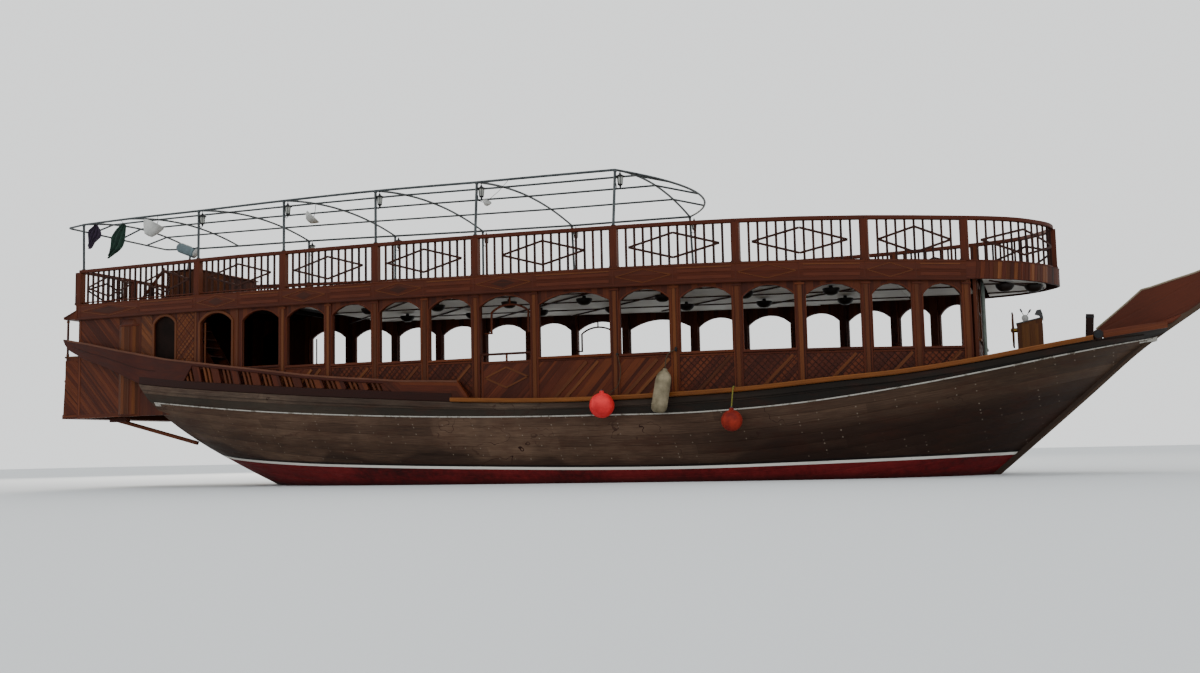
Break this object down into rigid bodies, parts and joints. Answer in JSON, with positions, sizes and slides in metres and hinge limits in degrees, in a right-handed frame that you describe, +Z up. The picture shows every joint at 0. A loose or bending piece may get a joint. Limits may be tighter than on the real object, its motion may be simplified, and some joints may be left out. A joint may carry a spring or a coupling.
{
  "type": "motorised two-deck excursion dhow",
  "caption": "Wooden two-deck excursion dhow with a long raked prow, arched saloon windows, railed upper deck, bare tube canopy frame and fenders.",
  "frame": {"origin": "amidships on the centre line, at the waterline", "axes": "+X to the bow, +Y to port, +Z up"},
  "size_m": [31.7085, 7.9274, 9.4785],
  "materials": {
    "hull_planks": "weathered planks, dark red below the waterline",
    "teak": "varnished",
    "cap_rail": "oiled",
    "deck_planks": "worn",
    "dark_teak": "varnished",
    "tube_steel": "dull grey",
    "bronze": "dull",
    "red_float": "satin",
    "grey_float": "weathered"
  },
  "bodies": {
    "boat": {"hull": "hull_planks", "keel": "hull_planks", "deadwood": "hull_planks", "rudder_post": "hull_planks", "stem": "hull_planks", "prow_fin": "teak", "quarter_bulwark_stbd": "teak", "quarter_bulwark_port": "teak", "fascia": "teak", "fore_arcade_stbd": "teak", "fore_arcade_port": "teak", "quarter_wall_stbd": "teak", "quarter_wall_port": "teak", "aft_arcade_stbd": "teak", "aft_arcade_port": "teak", "stern_wall": "teak", "front_wall": "teak", "rail_aft_stbd": "teak", "rail_aft_port": "teak", "rail_mid_stbd": "teak", "rail_mid_port": "teak", "rail_fore_stbd": "teak", "rail_fore_port": "teak", "rail_bow_stbd": "teak", "rail_bow_port": "teak", "rail_stern": "teak", "stair_hood": "teak", "handrail_outer": "teak", "handrail_inner": "teak", "helm_console": "teak", "cap_rail_stbd": "cap_rail", "cap_rail_port": "cap_rail", "upper_deck": "deck_planks", "box_floor": "deck_planks", "stair_flight": "deck_planks", "bow_cap_stbd": "dark_teak", "bow_cap_port": "dark_teak", "box_strut_stbd": "dark_teak", "box_strut_port": "dark_teak", "samson_post": "dark_teak", "canopy_side_stbd": "tube_steel", "canopy_side_port": "tube_steel", "canopy_arches": "tube_steel", "pipe_post": "tube_steel", "ball_fender_fore": "red_float", "ball_fender_mid": "red_float", "long_fender": "grey_float"},
    "propeller": {"propeller": "bronze"},
    "rudder": {"rudder": "dark_teak"},
    "ships_wheel": {"ships_wheel": "teak"},
    "gate_stbd": {"gate_stbd": "teak"},
    "gate_port": {"gate_port": "teak"}
  },
  "joints": [
    {"name": "propeller_turn", "type": "hinge", "parent": "boat", "child": "propeller", "pos_m": [-9.6, 0, -1.11], "axis": [1, 0, 0], "continuous": true},
    {"name": "rudder_turn", "type": "hinge", "parent": "boat", "child": "rudder", "pos_m": [-10.54, 0, -1], "axis": [0, 0, 1], "range_deg": [-35, 35]},
    {"name": "wheel_turn", "type": "hinge", "parent": "boat", "child": "ships_wheel", "pos_m": [8.5, 0, 3.28], "axis": [1, 0, 0], "range_deg": [-540, 540]},
    {"name": "gate_stbd_swing", "type": "hinge", "parent": "boat", "child": "gate_stbd", "pos_m": [-3.4335, -3.23, 2.4], "axis": [0, 0, 1], "range_deg": [0, 90]},
    {"name": "gate_port_swing", "type": "hinge", "parent": "boat", "child": "gate_port", "pos_m": [-3.4335, 3.23, 2.4], "axis": [0, 0, -1], "range_deg": [0, 90]}
  ],
  "couplings": [
    {"joint": "wheel_turn", "follows": "rudder_turn", "ratio": 15.429}
  ]
}
